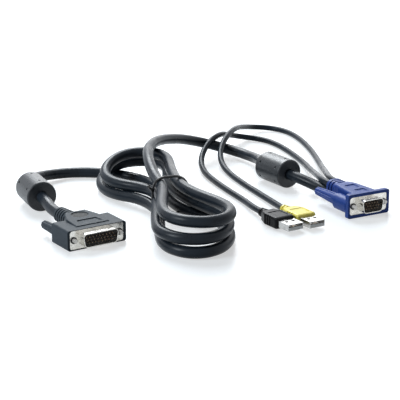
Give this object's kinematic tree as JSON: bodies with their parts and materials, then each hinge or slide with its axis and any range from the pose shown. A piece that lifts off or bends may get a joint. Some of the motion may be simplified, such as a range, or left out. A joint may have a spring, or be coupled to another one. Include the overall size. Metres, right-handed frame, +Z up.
{
  "type": "kvm switch cable",
  "caption": "Switch cable set: a multi-row screw-locked plug on a tied round cord, ending in a blue video plug with thin leads to flat data plugs.",
  "frame": {"origin": "centre of the underside of the multi-row plug's hood block, on the table", "axes": "+Z up from the table; -Y out of that plug's mating face; +X across its face, towards the video plug"},
  "size_m": [0.2989, 0.2467, 0.0339],
  "materials": {
    "grey_mould": "satin moulded PVC, slate grey",
    "blue_mould": "satin moulded PVC, blue",
    "potting": "plain moulded polyethylene",
    "nickel": "bright nickel plate",
    "insulator": "moulded glass-filled plastic",
    "gold": "thin gold plate",
    "black_mould": "satin moulded PVC",
    "yellow_mould": "satin moulded PVC",
    "white_plastic": "moulded plastic",
    "ferrite": "sintered",
    "sleeve": "satin moulded sleeve",
    "tie": "plastic-coated wire",
    "cord": "glossy PVC jacket"
  },
  "bodies": {
    "root": {"black_contacts": "gold", "black_lead": "cord", "black_overmould": "black_mould", "black_shell": "nickel", "black_tongue": "white_plastic", "hank": "cord", "hank_tie": "tie", "left_cord": "cord", "left_ferrite_core": "ferrite", "left_ferrite_cover": "sleeve", "right_cord": "cord", "right_ferrite_core": "ferrite", "right_ferrite_cover": "sleeve", "switch_front_shell": "nickel", "switch_hood": "grey_mould", "switch_inner_mould": "potting", "switch_insulator": "insulator", "switch_pins": "gold", "switch_rear_shell": "nickel", "video_front_shell": "nickel", "video_hood": "blue_mould", "video_inner_mould": "potting", "video_insulator": "insulator", "video_pins": "gold", "video_rear_shell": "nickel", "yellow_contacts": "gold", "yellow_lead": "cord", "yellow_overmould": "yellow_mould", "yellow_shell": "nickel", "yellow_tongue": "white_plastic"},
    "switch_left_thumbscrew": {"switch_left_knob": "grey_mould", "switch_left_screw": "nickel"},
    "switch_right_thumbscrew": {"switch_right_knob": "grey_mould", "switch_right_screw": "nickel"},
    "video_left_thumbscrew": {"video_left_knob": "blue_mould", "video_left_screw": "nickel"},
    "video_right_thumbscrew": {"video_right_knob": "blue_mould", "video_right_screw": "nickel"}
  },
  "joints": [
    {"name": "switch_left_thumbscrew_turn", "type": "hinge", "parent": "root", "child": "switch_left_thumbscrew", "pos_m": [-0.01665, 0, 0.0067], "axis": [0, 1, 0], "continuous": true},
    {"name": "switch_right_thumbscrew_turn", "type": "hinge", "parent": "root", "child": "switch_right_thumbscrew", "pos_m": [0.01665, 0, 0.0067], "axis": [0, 1, 0], "continuous": true},
    {"name": "video_left_thumbscrew_turn", "type": "hinge", "parent": "root", "child": "video_left_thumbscrew", "pos_m": [0.17323, -0.04615, 0.0084], "axis": [0.0698, 0.9976, 0], "continuous": true},
    {"name": "video_right_thumbscrew_turn", "type": "hinge", "parent": "root", "child": "video_right_thumbscrew", "pos_m": [0.19817, -0.0479, 0.0084], "axis": [0.0698, 0.9976, 0], "continuous": true}
  ]
}
